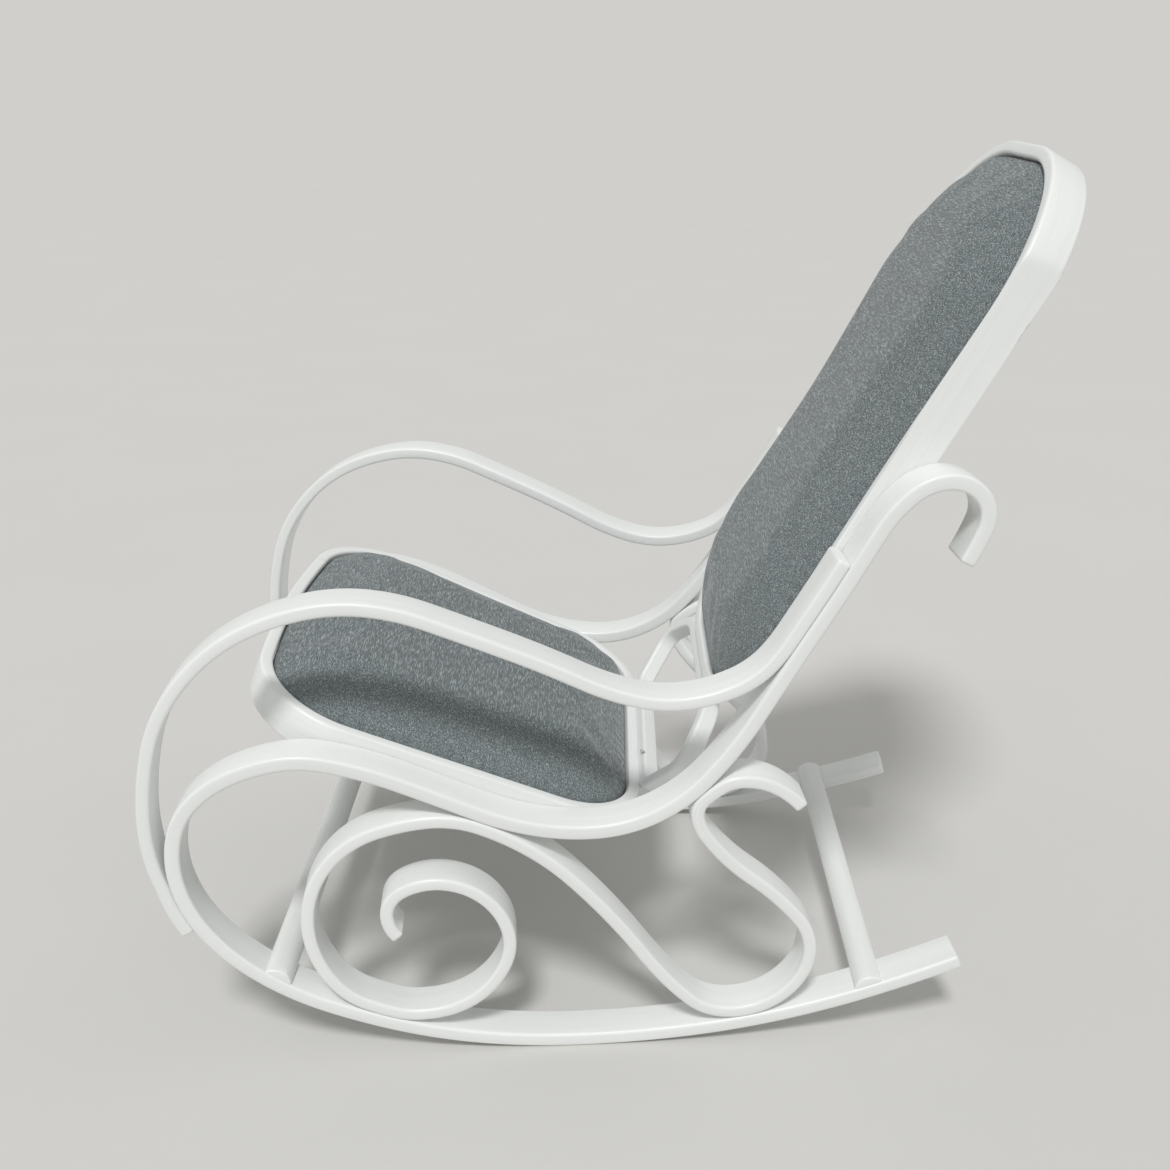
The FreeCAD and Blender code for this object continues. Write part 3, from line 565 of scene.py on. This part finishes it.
# a ring: a rounded rectangle carried round the outline, planed flat where it meets the rails
def bentRing(name, corners, section, place, lift, planed, seed):
    thick, deep = section
    rows = sampleChain(closedChain(corners), rings["step"])[:, :-1]
    profile = roundedRectangle(deep, thick, rings["edge"], steps=6)
    out, inward = profile[:, 0] + lift, profile[:, 1] + thick / 2
    x = rows[0][:, None] - inward * np.sin(rows[2])[:, None]
    up = rows[1][:, None] + inward * np.cos(rows[2])[:, None]
    points = toPlane(x, up, np.broadcast_to(out, x.shape), place)
    if planed:
        limit = insideHalf(points[..., 1] + sides["foreShift"])
        points[..., 0] = np.clip(points[..., 0], -limit, limit)
    around = np.broadcast_to(rows[3][:, None], x.shape)
    strip = np.stack([around + seed, np.broadcast_to(profile[:, 0], x.shape),
                      np.broadcast_to(profile[:, 1], x.shape)], -1).reshape(-1, 3)
    faces = [face[::-1] for face in gridFaces(rows.shape[1], profile.shape[0], wrapRows=True)]
    thing = meshObject(name, points.reshape(-1, 3), faces, "paint", {"strip": strip})
    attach(thing, "root")
    return thing


band, tieBand = (rings["thick"], rings["deep"]), (rings["tieThick"], rings["tieDeep"])
below = -rings["deep"] / 2
seatRing = bentRing("seat_ring", seatCorners, band, seatPlace, below, True, 41)
backRing = bentRing("back_ring", backCorners, band, backPlace, below, True, 53)
tieRing = bentRing("tie_ring_bent", tieCorners, tieBand, tiePlace, 0.0, False, 67)
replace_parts(seatRing, "seat_frame")
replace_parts(backRing, "back_frame")
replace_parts(tieRing, "tie_ring")
print("rings made")


# Pads: a closed form that fills the ring, domed up from its rim and flat below.
pads = {
    "gap": 0.0006, "crown": 0.024, "rim": 0.0015, "under": -0.0275, "edgeReach": 0.090,
    "around": 260, "topRows": 34, "wallRows": 5, "underRows": 8, "underShares": (0.9, 0.02),
    "rowCrowding": 1.6, "outlineStep": 0.002, "rimPoints": 900, "batch": 4000,
    "held": 0.006, "voxel": 0.005, "pressure": 4.0, "stiffness": 15, "quality": 5, "frames": 20,
    "cap": 0.006, "ironing": 12,
    "lump": 0.0007, "lumpFade": 0.03, "lumps": 6, "pull": 0.00035, "pullAt": 0.006, "pullWidth": 0.010,
    "waves": 14, "raisedFrom": 0.004, "phase": 6.28,
}


def outlineTable(corners, count):
    rows = sampleChain(closedChain(corners), pads["outlineStep"])[:, :-1]
    picked = np.linspace(0, rows.shape[1], count, endpoint=False).astype(int)
    return rows[:, picked]


# height over the rim: crown * (1 - (1 - d / reach)^3) for a distance d from the outline
def padForm(corners):
    around = pads["around"]
    rows = outlineTable(insetCorners(corners, rings["thick"] + pads["gap"]), around)
    middle = np.array([0.0, (rows[1].max() + rows[1].min()) / 2])
    rim = np.stack([rows[0], rows[1]], 1)
    shares = 1 - np.linspace(0, 1, pads["topRows"]) ** pads["rowCrowding"]
    top = middle + (rim - middle)[None] * shares[:, None, None]
    inside = np.stack([
        np.hypot(*(row[:, None] - rim[None]).transpose(2, 0, 1)).min(1) for row in top])
    reach = np.minimum(inside / pads["edgeReach"], 1)
    height = pads["rim"] + pads["crown"] * (1 - (1 - reach) ** 3)
    walls = np.linspace(pads["rim"], pads["under"], pads["wallRows"] + 1)[1:]
    low = np.broadcast_to(rim, (walls.size,) + rim.shape)
    narrowing = np.linspace(*pads["underShares"], pads["underRows"])
    bottom = middle + (rim - middle)[None] * narrowing[:, None, None]
    grid = np.concatenate([top[::-1], low, bottom])
    out = np.concatenate([height[::-1], np.repeat(walls[:, None], around, 1),
                          np.full((pads["underRows"], around), pads["under"])])
    return grid, out


def padPiece(name, corners, place, seed):
    grid, out = padForm(corners)
    points = toPlane(grid[..., 0], grid[..., 1], out, place)
    count, columns = out.shape
    faces = gridFaces(count, columns)
    faces += [list(range(columns))[::-1], list(range((count - 1) * columns, count * columns))]
    thing = meshObject(name, points.reshape(-1, 3), faces, "cloth")
    normals(thing)
    swell(thing, place)
    finishPad(thing, corners, place, seed)
    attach(thing, "root")
    return thing


def normals(thing):
    work = bmesh.new()
    work.from_mesh(thing.data)
    bmesh.ops.remove_doubles(work, verts=work.verts, dist=0.0001)
    bmesh.ops.recalc_face_normals(work, faces=work.faces)
    work.to_mesh(thing.data)
    work.free()


def coordinates(mesh):
    values = np.empty(len(mesh.vertices) * 3, np.float32)
    mesh.vertices.foreach_get("co", values)
    return values.reshape(-1, 3).astype(float)


def applyAll(thing):
    graph = bpy.context.evaluated_depsgraph_get()
    shaped = bpy.data.meshes.new_from_object(thing.evaluated_get(graph))
    thing.modifiers.clear()
    old = thing.data
    thing.data = shaped
    bpy.data.meshes.remove(old)


# the pad is filled with air under its cloth, held where it is tacked under the ring, and
# no point moves further than the cap
def swell(thing, place):
    remesh = thing.modifiers.new("grid", "REMESH")
    remesh.mode, remesh.voxel_size = "VOXEL", pads["voxel"]
    applyAll(thing)
    base, outAxis = place[0], place[2]
    start = coordinates(thing.data)
    out = (start - base) @ outAxis
    held = thing.vertex_groups.new(name="held")
    low = np.flatnonzero(out < pads["rim"] - pads["held"])
    held.add(low.tolist(), 1.0, "REPLACE")
    air = thing.modifiers.new("air", "CLOTH")
    air.settings.vertex_group_mass = "held"
    air.settings.use_pressure = True
    air.settings.uniform_pressure_force = pads["pressure"]
    air.settings.quality = pads["quality"]
    air.settings.tension_stiffness = air.settings.compression_stiffness = pads["stiffness"]
    air.settings.effector_weights.gravity = 0
    air.point_cache.frame_start, air.point_cache.frame_end = 1, pads["frames"]
    for number in range(1, pads["frames"] + 1):
        scene.frame_set(number)
    applyAll(thing)
    moved = coordinates(thing.data) - start
    reach = np.linalg.norm(moved, axis=1, keepdims=True)
    settled = start + moved * np.minimum(1, pads["cap"] / np.maximum(reach, 1e-9))
    thing.data.vertices.foreach_set("co", settled.astype(np.float32).ravel())
    scene.frame_set(1)
    print("swelled", thing.name, "by", round(float(reach.max()) * 1000, 1), "mm")


# after the swelling: ironing, one subdivision, low lumps, small pulls along the rim, and
# the pull attribute that the cloth's finish reads
def finishPad(thing, corners, place, seed):
    ironed = thing.modifiers.new("ironed", "SMOOTH")
    ironed.factor, ironed.iterations = 0.5, pads["ironing"]
    smooth = thing.modifiers.new("smooth", "SUBSURF")
    smooth.levels = smooth.render_levels = 1
    applyAll(thing)
    base, upAxis, outAxis = place
    points = coordinates(thing.data)
    local = np.stack([points[:, 0], (points - base) @ upAxis, (points - base) @ outAxis], 1)
    rows = outlineTable(insetCorners(corners, rings["thick"]), pads["rimPoints"])
    rim = np.stack([rows[0], rows[1]], 1)
    gap = np.full(len(points), 1.0)
    at = np.zeros(len(points), int)
    for first in range(0, len(points), pads["batch"]):
        some = slice(first, first + pads["batch"])
        apart = np.hypot(local[some, None, 0] - rim[None, :, 0], local[some, None, 1] - rim[None, :, 1])
        at[some] = apart.argmin(1)
        gap[some] = apart.min(1)
    rng = np.random.default_rng(seed)
    around = rows[3][at]
    total = rows[3].max()
    turn = 2 * math.pi * around / total
    waves = sum(rng.uniform(0.4, 1) * np.sin(number * turn + rng.uniform(0, pads["phase"]))
                for number in rng.integers(40, 150, pads["waves"])) / 4
    near = np.exp(-((gap - pads["pullAt"]) / pads["pullWidth"]) ** 2)
    pull = waves * near
    x, up = local[:, 0], local[:, 1]
    lumps = sum(rng.uniform(0.5, 1)
                * np.sin(x * rng.uniform(8, 26) + up * rng.uniform(-24, 24) + rng.uniform(0, pads["phase"]))
                for number in range(pads["lumps"])) / pads["lumps"]
    over = local[:, 2] > pads["rim"] - pads["raisedFrom"]
    raised = pads["lump"] * lumps * np.clip(gap / pads["lumpFade"], 0, 1) + pads["pull"] * pull
    lift = np.where(over, raised, 0)
    points += lift[:, None] * outAxis
    thing.data.vertices.foreach_set("co", points.astype(np.float32).ravel())
    layer = thing.data.attributes.new("pull", "FLOAT", "POINT")
    layer.data.foreach_set("value", pull.astype(np.float32))
    thing.data.polygons.foreach_set("use_smooth", np.ones(len(thing.data.polygons), bool))
    thing.data.update()


seatPad = padPiece("seat_upholstery", seatCorners, seatPlace, 5)
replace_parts(seatPad, "seat_foam", "seat_cover")
backPad = padPiece("back_upholstery", backCorners, backPlace, 9)
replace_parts(backPad, "back_foam", "back_cover")
print("pads made")


# CAD pieces that stay get their finish.
for node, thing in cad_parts.items():
    for word, finish in (("screws", "screws"), ("panel", "plywood"), ("cleats", "cleat")):
        if node.endswith(word):
            for slot in thing.material_slots:
                slot.material = finishes[finish]


# Floor, world and lamp: pale, soft and plain.
stage = {"floor": linear(208, 207, 204), "floorHalf": 30.0, "sky": linear(250, 250, 249), "skyStrength": 0.54,
         "paler": 1.04, "sun": 1.75, "sunSpread": math.radians(11), "sunPlace": (0.95, -0.2, 1.55)}


def buildStage():
    g = Graph("paleFloor")
    place = g.add("ShaderNodeTexCoord", None, None, output=3)
    mottle = g.noise(place, 3.0, 3.0, 0.5)
    pale = tuple(value * stage["paler"] for value in stage["floor"][:3]) + (1.0,)
    g.feed(Base_Color=g.mix(mottle, stage["floor"], pale), Roughness=0.75)
    half = stage["floorHalf"]
    corners = np.array([[-half, -half, 0], [half, -half, 0], [half, half, 0], [-half, half, 0]], float)
    finishes["floor"] = g.material
    floor = meshObject("floor", corners, [[0, 1, 2, 3]], "floor")
    world = bpy.data.worlds.new("paleWorld")
    scene.world = world
    world.use_nodes = True
    # the camera sees a backdrop as pale as the floor, everything else is lit by the sky
    tree = world.node_tree
    ray = tree.nodes.new("ShaderNodeLightPath")
    backdrop = tree.nodes.new("ShaderNodeMix")
    backdrop.data_type = "RGBA"
    sky = [value * stage["skyStrength"] for value in stage["sky"][:3]]
    backdrop.inputs[6].default_value = (*sky, 1.0)
    backdrop.inputs[7].default_value = stage["floor"]
    tree.links.new(ray.outputs["Is Camera Ray"], backdrop.inputs[0])
    tree.links.new(backdrop.outputs[2], tree.nodes["Background"].inputs[0])
    lamp = bpy.data.lights.new("sun", "SUN")
    lamp.energy, lamp.angle = stage["sun"], stage["sunSpread"]
    holder = bpy.data.objects.new("sun", lamp)
    holder.rotation_euler = Vector(stage["sunPlace"]).to_track_quat("Z", "Y").to_euler()
    scene.collection.objects.link(holder)
    scene.view_settings.view_transform = "Standard"


# Camera: the photograph's place, direction and roll.
camera = {"place": (1.345, 0.0026, 0.9939), "down": 0.39084, "aside": -0.01395, "roll": 0.012,
          "lens": 38.954}


def buildCamera():
    down, aside, roll = camera["down"], camera["aside"], camera["roll"]
    ahead = Vector((-math.cos(down) * math.cos(aside), math.cos(down) * math.sin(aside), -math.sin(down)))
    right = ahead.cross(Vector((0, 0, 1))).normalized()
    up = right.cross(ahead)
    rolledRight = right * math.cos(roll) + up * math.sin(roll)
    rolledUp = up * math.cos(roll) - right * math.sin(roll)
    data = bpy.data.cameras.new("view")
    data.lens, data.sensor_width = camera["lens"], 36.0
    holder = bpy.data.objects.new("view", data)
    turn = Matrix((rolledRight, rolledUp, -ahead)).transposed().to_4x4()
    holder.matrix_world = Matrix.Translation(camera["place"]) @ turn
    scene.collection.objects.link(holder)
    scene.camera = holder


buildStage()
buildCamera()
print("stage and camera made")
